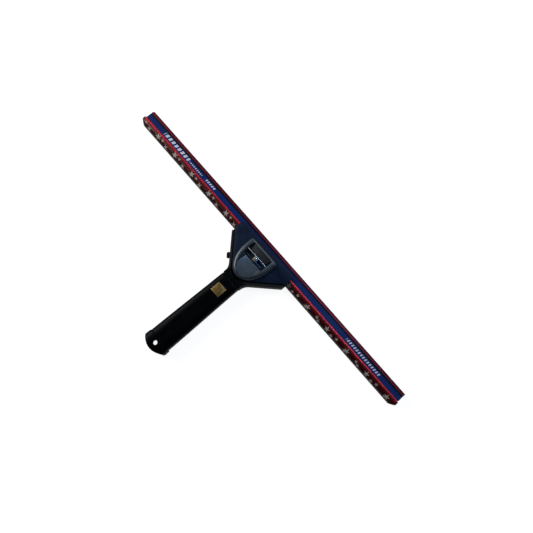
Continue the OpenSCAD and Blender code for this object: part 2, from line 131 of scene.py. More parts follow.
def add_floor():
    """A wide pale floor that reads as white and keeps a faint shadow of the object."""
    bm = bmesh.new()
    bmesh.ops.create_grid(bm, x_segments=1, y_segments=1, size=20)
    mesh = bpy.data.meshes.new("floor")
    bm.to_mesh(mesh)
    bm.free()
    floor = bpy.data.objects.new("floor", mesh)
    bpy.context.scene.collection.objects.link(floor)
    material = bpy.data.materials.new("pale_floor")
    material.use_nodes = True
    tree = material.node_tree
    tree.nodes.clear()
    paper = add_node(tree, "ShaderNodeBsdfDiffuse", {"Color": (0.26, 0.26, 0.26, 1)})
    bright = add_node(tree, "ShaderNodeEmission", {"Color": (1, 1, 1, 1)})
    path = add_node(tree, "ShaderNodeLightPath")
    shown = maths(tree, "MAXIMUM", path.outputs["Is Camera Ray"], path.outputs["Is Transmission Ray"])
    strength = maths(tree, "MAXIMUM", maths(tree, "MULTIPLY", shown, 0.92),
                     maths(tree, "MULTIPLY", path.outputs["Is Glossy Ray"], 0.3))
    tree.links.new(strength, bright.inputs["Strength"])
    both = add_node(tree, "ShaderNodeAddShader", {0: paper.outputs["BSDF"], 1: bright.outputs["Emission"]})
    out = add_node(tree, "ShaderNodeOutputMaterial")
    tree.links.new(both.outputs["Shader"], out.inputs["Surface"])
    mesh.materials.append(material)


# ---------------------------------------------------------------- node helpers and shared effects

def add_node(tree, kind, values=None, **settings):
    """A node of that kind; a socket among its values is linked, anything else is set."""
    node = tree.nodes.new(kind)
    for key, value in settings.items():
        setattr(node, key, value)
    for key, value in (values or {}).items():
        socket = pick_socket(node, key)
        if isinstance(value, bpy.types.NodeSocket):
            tree.links.new(value, socket)
        else:
            socket.default_value = value
    return node


def pick_socket(node, key):
    """The input of that name or number that is in use for the node's settings."""
    if isinstance(key, int):
        return node.inputs[key]
    return next(s for s in node.inputs if s.name == key and s.enabled)


def result_of(node):
    """The output that is in use for the node's settings."""
    return next(s for s in node.outputs if s.enabled)


def maths(tree, operation, *values):
    node = add_node(tree, "ShaderNodeMath", dict(enumerate(values)), operation=operation)
    return node.outputs["Value"]


def blend_colour(tree, factor, first, second):
    values = {"Factor": factor, "A": first, "B": second}
    return result_of(add_node(tree, "ShaderNodeMix", values, data_type="RGBA"))


def spread(tree, value, low, high, to_low, to_high):
    """Maps one range onto another with a soft start and end, and stays inside it."""
    node = add_node(tree, "ShaderNodeMapRange", {"Value": value, "From Min": low, "From Max": high,
                                                 "To Min": to_low, "To Max": to_high},
                    interpolation_type="SMOOTHSTEP")
    return node.outputs["Result"]


def new_group(name, inputs, outputs):
    """A shader node group with float or vector sockets; inputs maps each name to its default."""
    group = bpy.data.node_groups.new(name, "ShaderNodeTree")
    for label, value in inputs.items():
        kind = "NodeSocketVector" if isinstance(value, tuple) else "NodeSocketFloat"
        socket = group.interface.new_socket(name=label, in_out="INPUT", socket_type=kind)
        socket.default_value = value
    for label in outputs:
        group.interface.new_socket(name=label, in_out="OUTPUT", socket_type="NodeSocketFloat")
    return group, group.nodes.new("NodeGroupInput").outputs, group.nodes.new("NodeGroupOutput").inputs


def use_group(tree, group, values):
    return add_node(tree, "ShaderNodeGroup", values, node_tree=group).outputs


def noise(tree, place, scale, detail=2.0, rough=0.5):
    node = add_node(tree, "ShaderNodeTexNoise", {"Vector": place, "Scale": scale, "Detail": detail,
                                                 "Roughness": rough})
    return node.outputs["Fac"]


def stretched(tree, place, scale):
    node = add_node(tree, "ShaderNodeMapping", {"Vector": place, "Scale": scale})
    return node.outputs["Vector"]


def make_mould_grain():
    """Fine spark-eroded grain of moulded plastic, with slow patches where hands have polished it."""
    group, given, out = new_group("mould_grain", {"Place": (0.0, 0.0, 0.0), "Grain": 2600.0, "Patches": 60.0},
                                  ["Height", "Patch"])
    fine = noise(group, given["Place"], given["Grain"], 3.0, 0.6)
    pits = add_node(group, "ShaderNodeTexVoronoi", {"Vector": given["Place"], "Scale": given["Grain"]},
                    feature="SMOOTH_F1")
    height = maths(group, "MULTIPLY", fine, pits.outputs["Distance"])
    group.links.new(height, out["Height"])
    group.links.new(noise(group, given["Place"], given["Patches"], 4.0, 0.6), out["Patch"])
    return group


def make_scuffs():
    """Hairline scratches in two directions, thin and broken."""
    group, given, out = new_group("scuffs", {"Place": (0.0, 0.0, 0.0), "Amount": 0.5}, ["Mask"])
    layers = []
    for turn, scale in ((0.5, 900.0), (-0.9, 700.0)):
        turned = add_node(group, "ShaderNodeMapping", {"Vector": given["Place"], "Rotation": (0.0, 0.0, turn),
                                                       "Scale": (1.0, 0.035, 0.3)})
        lines = noise(group, turned.outputs["Vector"], scale, 1.0, 0.4)
        layers.append(spread(group, lines, 0.70, 0.78, 0.0, 1.0))
    broken = spread(group, noise(group, given["Place"], 90.0, 2.0), 0.48, 0.62, 0.0, 1.0)
    both = maths(group, "MAXIMUM", *layers)
    mask = maths(group, "MULTIPLY", both, broken)
    group.links.new(maths(group, "MULTIPLY", mask, given["Amount"]), out["Mask"])
    return group


def make_drawn_lines():
    """Fine lines of a brushed or extruded metal, running along one axis."""
    group, given, out = new_group("drawn_lines", {"Place": (0.0, 0.0, 0.0), "Stretch": (1.0, 1.0, 1.0)},
                                  ["Height", "Band"])
    along = add_node(group, "ShaderNodeVectorMath", {0: given["Place"], 1: given["Stretch"]},
                     operation="MULTIPLY")
    group.links.new(noise(group, along.outputs["Vector"], 900.0, 3.0, 0.7), out["Height"])
    group.links.new(noise(group, along.outputs["Vector"], 160.0, 2.0, 0.5), out["Band"])
    return group


def make_star():
    """One plain five-pointed star: 1 inside, 0 outside. Up and Side are measured from its middle."""
    flank = math.radians(74)
    soft_edge = 0.00006
    group, given, out = new_group("star", {"Side": 0.0, "Up": 0.0, "Radius": 0.004, "Turn": 0.0}, ["Mask"])
    angle = maths(group, "ARCTAN2", given["Side"], given["Up"])
    angle = maths(group, "ADD", angle, given["Turn"])
    folded = maths(group, "PINGPONG", angle, math.pi / 5)
    far = maths(group, "SQRT", maths(group, "ADD", maths(group, "POWER", given["Side"], 2.0),
                                     maths(group, "POWER", given["Up"], 2.0)))
    slant = maths(group, "COSINE", maths(group, "SUBTRACT", folded, flank))
    edge = maths(group, "SUBTRACT", maths(group, "MULTIPLY", far, slant),
                 maths(group, "MULTIPLY", given["Radius"], math.cos(flank)))
    group.links.new(spread(group, edge, -soft_edge, soft_edge, 1.0, 0.0), out["Mask"])
    return group


def nearest(tree, value, start, pitch):
    """How far a value is from the nearest of evenly spaced places. Start and pitch are in millimetres."""
    step = maths(tree, "DIVIDE", maths(tree, "SUBTRACT", value, start * MM), pitch * MM)
    off = maths(tree, "ABSOLUTE", maths(tree, "SUBTRACT", step, maths(tree, "ROUND", step)))
    return maths(tree, "MULTIPLY", off, pitch * MM)


def make_slant_bars():
    """A row of plain slanted bars between two places on X."""
    group, given, out = new_group("slant_bars", {"X": 0.0, "Y": 0.0, "From": 0.0, "To": 0.1, "Middle": 0.0,
                                                 "Height": 0.004, "Pitch": 0.005, "Share": 0.6}, ["Mask"])
    off = maths(group, "SUBTRACT", given["Y"], given["Middle"])
    leaning = maths(group, "SUBTRACT", given["X"], maths(group, "MULTIPLY", off, 0.35))
    phase = maths(group, "FRACT", maths(group, "DIVIDE", leaning, given["Pitch"]))
    bar = maths(group, "LESS_THAN", phase, given["Share"])
    half_tall = maths(group, "MULTIPLY", given["Height"], 0.5)
    tall = maths(group, "LESS_THAN", maths(group, "ABSOLUTE", off), half_tall)
    inside = maths(group, "MULTIPLY", maths(group, "GREATER_THAN", leaning, given["From"]),
                   maths(group, "LESS_THAN", leaning, given["To"]))
    mask = maths(group, "MULTIPLY", maths(group, "MULTIPLY", bar, tall), inside)
    group.links.new(mask, out["Mask"])
    return group


# ---------------------------------------------------------------- materials

def paint(red, green, blue):
    """A colour written as 0 to 255 on a screen."""
    linear = []
    for level in (red, green, blue):
        share = level / 255
        linear.append(share / 12.92 if share <= 0.04045 else ((share + 0.055) / 1.055) ** 2.4)
    return (*linear, 1.0)


def start_material(name, roughness, metallic=0.0, specular=0.5, coat=0.0, coat_roughness=0.1):
    """A material, its tree, its shader and the place on the object."""
    material = bpy.data.materials.new(name)
    material.use_nodes = True
    tree = material.node_tree
    shader = tree.nodes["Principled BSDF"]
    shader.inputs["Roughness"].default_value = roughness
    shader.inputs["Metallic"].default_value = metallic
    shader.inputs["Specular IOR Level"].default_value = specular
    shader.inputs["Coat Weight"].default_value = coat
    shader.inputs["Coat Roughness"].default_value = coat_roughness
    place = add_node(tree, "ShaderNodeTexCoord").outputs["Object"]
    return material, tree, shader, place


def add_bump(tree, shader, height, distance):
    bump = add_node(tree, "ShaderNodeBump", {"Height": height, "Distance": distance, "Strength": 1.0})
    tree.links.new(bump.outputs["Normal"], shader.inputs["Normal"])


def moulded_plastic(name, dark, light, roughness, grain=2600.0, depth=0.00004, specular=0.3, neck=False):
    """Moulded plastic or rubber: two close shades in slow patches, a fine grain and a few hairlines.

    With neck, the neck gets painted shade: behind the shoulders it is painted darker, and its middle nearly
    black.
    """
    material, tree, shader, place = start_material(name, roughness, specular=specular)
    skin = use_group(tree, effects["mould_grain"], {"Place": place, "Grain": grain})
    marks = use_group(tree, effects["scuffs"], {"Place": place, "Amount": 0.4})
    patch = spread(tree, skin["Patch"], 0.35, 0.65, 0.0, 1.0)
    colour = blend_colour(tree, patch, dark, light)
    worn = tuple(min(1.0, c * 1.7 + 0.01) for c in light[:3]) + (1.0,)
    colour = blend_colour(tree, marks["Mask"], colour, worn)
    if neck:
        parts = add_node(tree, "ShaderNodeSeparateXYZ", {"Vector": place}).outputs
        # Painted shade: behind the shoulders the neck is painted darker, and its middle nearly black.
        behind = maths(tree, "LESS_THAN", parts["Y"], NECK_START)
        middle = maths(tree, "LESS_THAN", maths(tree, "ABSOLUTE", parts["X"]), SADDLE_SHADE_HALF)
        saddle_shade = maths(tree, "MULTIPLY", behind, middle)
        colour = blend_colour(tree, behind, colour, paint(12, 12, 12))
        colour = blend_colour(tree, saddle_shade, colour, paint(1, 1, 2))
    tree.links.new(colour, shader.inputs["Base Color"])
    shine = spread(tree, skin["Patch"], 0.3, 0.7, roughness - 0.05, roughness + 0.06)
    shine = maths(tree, "ADD", shine, maths(tree, "MULTIPLY", marks["Mask"], 0.15))
    tree.links.new(shine, shader.inputs["Roughness"])
    add_bump(tree, shader, skin["Height"], depth)
    return material


def bright_metal(name, base, light, roughness, stretch, painted_glint_y=None):
    """Brushed or drawn metal with fine lines along one axis and tarnished patches. Given a place on Y, the
    metal behind it is painted dark bluish grey: painted shade with a painted blue glint.
    """
    material, tree, shader, place = start_material(name, roughness, 1.0)
    lines = use_group(tree, effects["drawn_lines"], {"Place": place, "Stretch": stretch})
    marks = use_group(tree, effects["scuffs"], {"Place": place, "Amount": 0.3})
    colour = blend_colour(tree, spread(tree, lines["Band"], 0.3, 0.7, 0.0, 1.0), base, light)
    stain = spread(tree, noise(tree, place, 260.0, 3.0), 0.45, 0.7, 0.0, 0.5)
    dull = tuple(c * 0.6 for c in base[:3]) + (1.0,)
    colour = blend_colour(tree, stain, colour, dull)
    # Painted shade with a painted blue glint: the steel behind this place is painted dark bluish grey.
    if painted_glint_y is not None:
        parts = add_node(tree, "ShaderNodeSeparateXYZ", {"Vector": place}).outputs
        colour = blend_colour(tree, maths(tree, "LESS_THAN", parts["Y"], painted_glint_y), colour, paint(66, 79, 100))
    tree.links.new(colour, shader.inputs["Base Color"])
    shine = maths(tree, "ADD", spread(tree, lines["Height"], 0.3, 0.7, roughness - 0.06, roughness + 0.08),
                  maths(tree, "MULTIPLY", marks["Mask"], 0.2))
    tree.links.new(shine, shader.inputs["Roughness"])
    add_bump(tree, shader, lines["Height"], 0.00001)
    return material


def red_channel_metal():
    """Red anodised aluminium: extrusion lines along X, and rows of grey stars round the rounded back."""
    material, tree, shader, place = start_material("red_anodised", 0.34, 0.85)
    parts = add_node(tree, "ShaderNodeSeparateXYZ", {"Vector": place}).outputs
    lines = use_group(tree, effects["drawn_lines"], {"Place": place, "Stretch": (0.02, 1.0, 1.0)})
    back_radius = 0.00655
    middle_y = channel_low.y + back_radius
    middle_z = channel_high.z - 0.0003 - back_radius
    angle = maths(tree, "ARCTAN2", maths(tree, "SUBTRACT", middle_y, parts["Y"]),
                  maths(tree, "SUBTRACT", parts["Z"], middle_z))
    round_back = maths(tree, "MULTIPLY", angle, back_radius)
    on_back = maths(tree, "GREATER_THAN", round_back, -0.0007)
    left = maths(tree, "LESS_THAN", parts["X"], 0.0)
    turn = maths(tree, "MULTIPLY", left, math.pi)
    up = maths(tree, "MULTIPLY", round_back, -1.0)
    right = maths(tree, "SUBTRACT", 1.0, left)
    # Which half, then in millimetres: first star, pitch, how far round the back, and size.
    rows = [(left, -67, 32.5, 3.2, 4.8), (left, -59, 32.5, 2.4, 2.4), (left, -83, 32.5, 5.6, 3.8),
            (right, 48, 33.5, 4.0, 4.2), (right, 64, 33.5, 3.5, 2.6), (right, 56, 22.5, 5.9, 3.0)]
    masks = []
    for half, start, pitch, line, size in rows:
        drawn = use_group(tree, effects["star"], {
            "Side": nearest(tree, parts["X"], start, pitch), "Up": maths(tree, "ADD", up, line * MM),
            "Radius": size * MM, "Turn": turn})
        masks.append(maths(tree, "MULTIPLY", drawn["Mask"], half))
    stars = masks[0]
    for mask in masks[1:]:
        stars = maths(tree, "MAXIMUM", stars, mask)
    speckle = spread(tree, noise(tree, place, 3200.0, 2.0), 0.30, 0.42, 0.35, 1.0)
    stars = maths(tree, "MULTIPLY", maths(tree, "MULTIPLY", stars, on_back), speckle)
    band = spread(tree, lines["Band"], 0.3, 0.7, 0.0, 1.0)
    red = blend_colour(tree, band, paint(180, 42, 50), paint(196, 50, 56))
    # The lip keeps its own red but is painted darker and purplish: painted shade with a painted bluish
    # reflection.
    lip = maths(tree, "GREATER_THAN", parts["Y"], label_high.y)
    red = blend_colour(tree, lip, red, paint(146, 34, 52))
    # Painted shade: the rounded back behind the ridge is painted dark red, darkest towards the bottom.
    shade = spread(tree, round_back, -0.0006, 0.0010, 0.0, 1.0)
    deeper_shade = spread(tree, round_back, 0.0010, 0.0070, 0.0, 1.0)
    painted_back_shade = blend_colour(tree, deeper_shade, paint(76, 6, 14), paint(34, 1, 4))
    red = blend_colour(tree, shade, red, painted_back_shade)
    # Painted shade: the groove and a thin strip of the lip beside it are painted near black.
    groove_shade = maths(tree, "MULTIPLY", maths(tree, "GREATER_THAN", parts["Y"], label_high.y - 0.00006),
                   maths(tree, "LESS_THAN", parts["Y"], label_high.y + 0.00110))
    red = blend_colour(tree, groove_shade, red, paint(10, 8, 16))
    plain = maths(tree, "MAXIMUM", stars, groove_shade)
    tree.links.new(blend_colour(tree, stars, red, paint(166, 152, 138)), shader.inputs["Base Color"])
    bare = maths(tree, "SUBTRACT", 1.0, plain)
    gloss = maths(tree, "MULTIPLY", bare, spread(tree, shade, 0.0, 1.0, 0.85, 0.45))
    tree.links.new(gloss, shader.inputs["Metallic"])
    shine = maths(tree, "ADD", spread(tree, lines["Height"], 0.3, 0.7, 0.28, 0.38),
                  maths(tree, "MULTIPLY", stars, 0.2))
    tree.links.new(shine, shader.inputs["Roughness"])
    add_bump(tree, shader, lines["Height"], 0.000008)
    return material


def blue_label_print():
    """Glossy blue film with rows of plain slanted white bars near both ends."""
    material, tree, shader, place = start_material("blue_label", 0.3, specular=0.2, coat=0.08,
                                                   coat_roughness=0.15)
    parts = add_node(tree, "ShaderNodeSeparateXYZ", {"Vector": place}).outputs
    middle = (label_low.y + label_high.y) / 2
    # Start, end, height and pitch in millimetres, the bar's share of the pitch, and how far off the middle.
    rows = [(-194.5, -147.9, 4.2, 5.8, 0.62, 0), (-146.0, -122.4, 1.8, 3.0, 0.5, -0.6),
            (-114.8, -97.2, 2.6, 3.6, 0.6, 0), (138.1, 193.7, 3.0, 3.6, 0.5, 0)]
    ink = None
    for start, end, height, pitch, share, off in rows:
        mask = use_group(tree, effects["slant_bars"], {
            "X": parts["X"], "Y": parts["Y"], "From": start * MM, "To": end * MM, "Height": height * MM,
            "Pitch": pitch * MM, "Share": share, "Middle": middle + off * MM})["Mask"]
        ink = mask if ink is None else maths(tree, "MAXIMUM", ink, mask)
    marks = use_group(tree, effects["scuffs"], {"Place": place, "Amount": 0.35})
    ink = maths(tree, "MULTIPLY", ink, spread(tree, noise(tree, place, 2400.0, 2.0), 0.3, 0.42, 0.5, 1.0))
    along = stretched(tree, place, (0.05, 1.0, 1.0))
    drift = spread(tree, noise(tree, along, 120.0, 3.0), 0.3, 0.7, 0.0, 1.0)
    blue = blend_colour(tree, drift, paint(12, 33, 88), paint(16, 41, 101))
    blue = blend_colour(tree, marks["Mask"], blue, paint(50, 70, 130))
    # Painted shade: the film's front edge beside the groove is painted near black.
    edge = maths(tree, "GREATER_THAN", parts["Y"], label_high.y - 0.0010)
    blue = blend_colour(tree, edge, blue, paint(8, 8, 14))
    tree.links.new(blend_colour(tree, ink, blue, paint(205, 208, 216)), shader.inputs["Base Color"])
    tree.links.new(maths(tree, "ADD", maths(tree, "MULTIPLY", ink, 0.15), 0.3), shader.inputs["Roughness"])
    add_bump(tree, shader, maths(tree, "ADD", ink, drift), 0.00001)
    return material


def badge_metal():
    """Brushed brass sheet, mottled as if stamped, and brighter towards its edges."""
    material, tree, shader, place = start_material("badge_brass", 0.42, 0.8)
    lines = use_group(tree, effects["drawn_lines"], {"Place": place, "Stretch": (1.0, 0.12, 1.0)})
    centre = (badge_low + badge_high) / 2
    moved = add_node(tree, "ShaderNodeMapping", {"Vector": place, "Location": tuple(-centre)})
    off = add_node(tree, "ShaderNodeVectorMath", {0: moved.outputs["Vector"]}, operation="ABSOLUTE")
    parts = add_node(tree, "ShaderNodeSeparateXYZ", {"Vector": off.outputs["Vector"]}).outputs
    rim = spread(tree, maths(tree, "MAXIMUM", parts["X"], parts["Y"]), 0.0046, 0.0060, 0.0, 0.6)
    mottle = spread(tree, noise(tree, place, 420.0, 3.0, 0.6), 0.35, 0.65, 0.0, 1.0)
    colour = blend_colour(tree, mottle, paint(112, 86, 44), paint(146, 118, 66))
    colour = blend_colour(tree, rim, colour, paint(176, 146, 90))
    tree.links.new(colour, shader.inputs["Base Color"])
    tree.links.new(spread(tree, lines["Height"], 0.3, 0.7, 0.34, 0.5), shader.inputs["Roughness"])
    add_bump(tree, shader, maths(tree, "ADD", lines["Height"], mottle), 0.00002)
    return material


# ---------------------------------------------------------------- mesh helpers

def solid_of(node):
    """A merged copy of a CAD node's mesh, with its flat faces joined."""
    bm = bmesh.new()
    bm.from_mesh(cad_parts[node].data)
    bmesh.ops.remove_doubles(bm, verts=bm.verts, dist=1e-6)
    bmesh.ops.dissolve_limit(bm, angle_limit=math.radians(0.6), verts=bm.verts, edges=bm.edges)
    return bm


def sharp_edges(bm, angle=30):
    return [e for e in bm.edges if e.is_manifold and e.calc_face_angle(0) > math.radians(angle)]


def round_off(bm, edges, radius, segments=3, clamp=True):
    """Rounds the edges to that radius in millimetres."""
    bmesh.ops.bevel(bm, geom=list(edges), offset=radius * MM, offset_type="OFFSET", segments=segments,
                    profile=0.5, affect="EDGES", clamp_overlap=clamp, material=-1)


def add_piece(name, bm, body, nodes, material, crease=32):
    """The finished mesh as a piece that rides on its body and stands for its CAD nodes."""
    bmesh.ops.remove_doubles(bm, verts=bm.verts, dist=1e-7)
    bmesh.ops.recalc_face_normals(bm, faces=bm.faces)
    mesh = bpy.data.meshes.new(name)
    bm.to_mesh(mesh)
    bm.free()
    if "custom_normal" in mesh.attributes:
        mesh.attributes.remove(mesh.attributes["custom_normal"])
    mesh.shade_smooth()
    mesh.set_sharp_from_angle(angle=math.radians(crease))
    mesh.materials.clear()
    mesh.materials.append(material)
    piece = bpy.data.objects.new(name, mesh)
    bpy.context.scene.collection.objects.link(piece)
    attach(piece, body)
    if nodes:
        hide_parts(*nodes)
    return piece


def cut_away(bm, tool):
    """The first shape with the second taken out of it. Both are used up."""
    objects = []
    for name, shape in (("cut_base", bm), ("cut_tool", tool)):
        bmesh.ops.recalc_face_normals(shape, faces=shape.faces)
        mesh = bpy.data.meshes.new(name)
        shape.to_mesh(mesh)
        shape.free()
        thing = bpy.data.objects.new(name, mesh)
        bpy.context.scene.collection.objects.link(thing)
        objects.append(thing)
    base, knife = objects
    change = base.modifiers.new("cut", "BOOLEAN")
    change.operation = "DIFFERENCE"
    change.solver = "EXACT"
    change.object = knife
    bpy.context.view_layer.update()
    done = base.evaluated_get(bpy.context.evaluated_depsgraph_get())
    result = bmesh.new()
    result.from_mesh(done.to_mesh())
    done.to_mesh_clear()
    for thing in objects:
        mesh = thing.data
        bpy.data.objects.remove(thing)
        bpy.data.meshes.remove(mesh)
    return result


def block(half, depth_0, depth_1, low, high):
    """A block across X, in millimetres."""
    bm = bmesh.new()
    size = (2 * half * MM, (depth_1 - depth_0) * MM, (high - low) * MM, 1)
    centre = (0, y_at((depth_0 + depth_1) / 2), (low + high) / 2 * MM)
    bmesh.ops.create_cube(bm, size=1, matrix=Matrix.Translation(centre) @ Matrix.Diagonal(size))
    return bm


def upright_pin(x, depth, radius, low, high, segments=48):
    """A cylinder along Z, in millimetres."""
    bm = bmesh.new()
    centre = (x * MM, y_at(depth), (low + high) / 2 * MM)
    bmesh.ops.create_cone(bm, cap_ends=True, cap_tris=False, segments=segments, radius1=radius * MM,
                          radius2=radius * MM, depth=(high - low) * MM, matrix=Matrix.Translation(centre))
    return bm


def ring_loft(rings, place, segments=96, hollow=False):
    """A skin through rings, closed by a face at each end, or onto its first ring when it is hollow.

    place(turn, ring) gives each point; a ring is whatever place reads.
    """
    bm = bmesh.new()
    turn = bm.verts.layers.float.new("turn")
    bmesh.ops.create_circle(bm, cap_ends=not hollow, segments=segments, radius=1)
    for vert in bm.verts:
        vert[turn] = math.atan2(vert.co.y, vert.co.x)
    edges = list(bm.edges)
    first = list(edges)
    for index, ring in enumerate(rings):
        if index:
            made = bmesh.ops.extrude_edge_only(bm, edges=edges)["geom"]
            edges = [part for part in made if isinstance(part, bmesh.types.BMEdge)]
        for vert in {v for e in edges for v in e.verts}:
            vert.co = place(vert[turn], ring)
    if hollow:
        bmesh.ops.bridge_loops(bm, edges=first + edges)
    else:
        bmesh.ops.contextual_create(bm, geom=edges)
    return bm


def power_of(value, exponent):
    """A power that keeps its sign, for rounded boxes."""
    return math.copysign(abs(value) ** exponent, value)


# ---------------------------------------------------------------- handle

GRIP_SQUARENESS = 3.3
CAP_SQUARENESS = 9.0
GRIP_TOP = 21.0


def bar_point(turn, ring, below=GRIP_SQUARENESS):
    """A point of the grip's section. A ring is depth, half width, lowest and highest z, and bulge."""
    depth, half, low, high, bulge = ring
    squareness = below if turn < 0 else GRIP_SQUARENESS
    side = power_of(math.cos(turn), 2 / squareness)
    rise = power_of(math.sin(turn), 2 / squareness)
    arched = depth + bulge * (1 - side * side)
    return Vector((half * side * MM, y_at(arched), ((low + high) / 2 + (high - low) / 2 * rise) * MM))


def between(start, end, share):
    return start + (end - start) * share


def curved_face(corner, half, low, high, bulge, shares):
    """Rings that close an end in a flat face, which keeps the curve that its outer ring has in plan."""
    middle = (low + high) / 2
    return [(corner + bulge * (1 - share * share), half * share, between(middle, low, share),
             between(middle, high, share), bulge * share * share) for share in shares]


def make_grip():
    """Soft grip sleeve: arched at the head, widening to the cap, with a sunk panel."""
    first, last = depth_of(grip_high.y), depth_of(grip_low.y)
    half_0, half_1 = 13.7, grip_high.x / MM
    top = GRIP_TOP
    arch = first + 2.9
    rings = curved_face(arch, half_0 - 1.9, 2.4, 18.6, -1.8, (0.08, 0.4, 0.8, 1.0))
    rings += [(arch + 0.05, half_0 - 0.9, 1.3, 19.7, -1.8), (arch + 0.35, half_0 - 0.35, 0.75, 20.25, -1.8),
              (arch + 0.9, half_0 - 0.06, 0.45, 20.55, -1.8), (arch + 1.6, half_0, 0.4, 20.6, -1.7)]
    for step in range(1, 48):
        share = step / 48
        swell = share * share * (3 - 2 * share)
        half = between(half_0, half_1, between(share, swell, 0.4))
        rings.append((between(arch + 1.6, last - 1.2, share), half, between(0.4, 0.0, share),
                      between(20.6, top, share), -1.7 * (1 - share)))
    rings += [(last - 1.0, half_1, 0.0, top, 0), (last - 0.3, half_1 - 0.08, 0.08, top - 0.08, 0),
              (last, half_1 - 0.35, 0.35, top - 0.35, 0), (last, half_1 - 3, 3, top - 3, 0)]
    bm = ring_loft(rings, bar_point, 96)
    front, back = first + 54.4, last - 2.8
    panel = block(5.0, front, back, top - 0.85, top + 1)
    round_off(panel, upright_edges(panel), 4.0, 8)
    bm = cut_away(bm, panel)
    badge_front, badge_back = depth_of(badge_high.y), depth_of(badge_low.y)
    bm = cut_away(bm, block(6.5, badge_front - 0.1, badge_back + 0.1, top - 1.0, top + 1))
    bm = cut_away(bm, upright_pin(0, last - 8, 3.0, -1, 2.0, 40))
    add_piece("grip_shell", bm, "handle", ["grip_sleeve"], materials["grip"])


def upright_edges(bm):
    return [e for e in bm.edges if math.hypot(e.verts[0].co.x - e.verts[1].co.x,
                                              e.verts[0].co.y - e.verts[1].co.y) < 1e-5]


def make_panel_ribs():
    """A border line and slanted ribs on the floor of the grip's sunk panel, and the nib behind it."""
    floor = 20.15
    last = depth_of(grip_low.y)
    bm = bmesh.new()
    for step in range(9):
        rib = block(2.1, -0.5, 0.5, floor - 0.3, floor + 0.45)
        round_off(rib, rib.edges, 0.2, 2)
        spot = Matrix.Translation((-1.2 * MM, y_at(last - 38.6 + 3.3 * step), 0))
        turned = spot @ Matrix.Rotation(0.32, 4, "Z")
        bmesh.ops.transform(rib, matrix=turned @ Matrix.Translation((0, -y_at(0), 0)), verts=rib.verts)
        join(bm, rib)
    line = block(0.3, last - 41.0, last - 9.5, floor - 0.3, floor + 0.45)
    round_off(line, line.edges, 0.15, 2)
    bmesh.ops.translate(line, vec=(2.2 * MM, 0, 0), verts=line.verts)
    join(bm, line)
    nib = bmesh.new()
    bmesh.ops.create_uvsphere(nib, u_segments=24, v_segments=12, radius=1.2 * MM)
    bmesh.ops.transform(nib, matrix=Matrix.Translation((0, y_at(last - 1.4), 20.7 * MM))
                        @ Matrix.Diagonal((1, 1, 0.5, 1)), verts=nib.verts)
    join(bm, nib)
    add_piece("grip_ribs", bm, "handle", [], materials["grip"])


def join(bm, other):
    """Adds the other shape to the first and uses it up."""
    mesh = bpy.data.meshes.new("part")
    other.to_mesh(mesh)
    other.free()
    bm.from_mesh(mesh)
    bpy.data.meshes.remove(mesh)


def make_cap():
    """End cap: it flares out of the grip and ends in an arc between two corners, with a hanging hole."""
    first, last = depth_of(grip_low.y), depth_of(cap_low.y)
    half_0, half_1 = grip_high.x / MM, cap_high.x / MM
    arc = 6.0
    corner = last - arc
    rings = [(first, half_0 - 4, 4, 17, 0), (first, half_0 - 0.4, 0.4, 20.6, 0),
             (first + 0.3, half_0 - 0.1, 0.1, 20.9, 0), (first + 0.8, half_0 + 0.05, 0, 21, 0),
             (first + 1.2, half_0 + 0.35, 0, 21, 0.1), (first + 1.7, half_1 - 0.35, 0, 21, 0.3),
             (first + 2.6, half_1 - 0.2, 0, 21, 0.7), (first + 4.2, half_1 - 0.16, 0, 21, 2.0),
             (corner - 3.4, half_1 - 0.14, 0, 21, 3.4), (corner - 2.2, half_1 - 0.04, 0, 21, 4.4),
             (corner - 1.5, half_1, 0.15, 20.8, 5.0), (corner - 0.9, half_1 - 0.2, 0.5, 20.35, 5.45),
             (corner - 0.4, half_1 - 0.65, 1.0, 19.7, 5.75), (corner - 0.1, half_1 - 1.3, 1.8, 18.9, 5.92)]
    rings += curved_face(corner, half_1 - 2.1, 2.8, 17.9, arc, (1.0, 0.8, 0.5, 0.25, 0.05))

    def cap_point(turn, ring):
        share = max(0.0, min(1.0, (ring[0] - first - 0.8) / 0.9))
        return bar_point(turn, ring, between(GRIP_SQUARENESS, CAP_SQUARENESS, share))

    bm = ring_loft(rings, cap_point, 96)
    hole = first + 6.2
    bm = cut_away(bm, upright_pin(0, hole, 2.7, -1, 22, 48))
    hollow = block(7.3, hole - 4.8, hole + 4.8, -1, 15)
    round_off(hollow, upright_edges(hollow), 4.75, 10)
    bm = cut_away(bm, hollow)

    def on_hole_rim(edge):
        near = all(math.hypot(v.co.x, v.co.y - y_at(hole)) < 0.0030 for v in edge.verts)
        return near and abs(edge.verts[0].co.z - edge.verts[1].co.z) < 0.0004

    round_off(bm, [e for e in sharp_edges(bm, 40) if on_hole_rim(e)], 0.25, 2, clamp=False)
    add_piece("cap_shell", bm, "handle", ["end_cap"], materials["cap"])


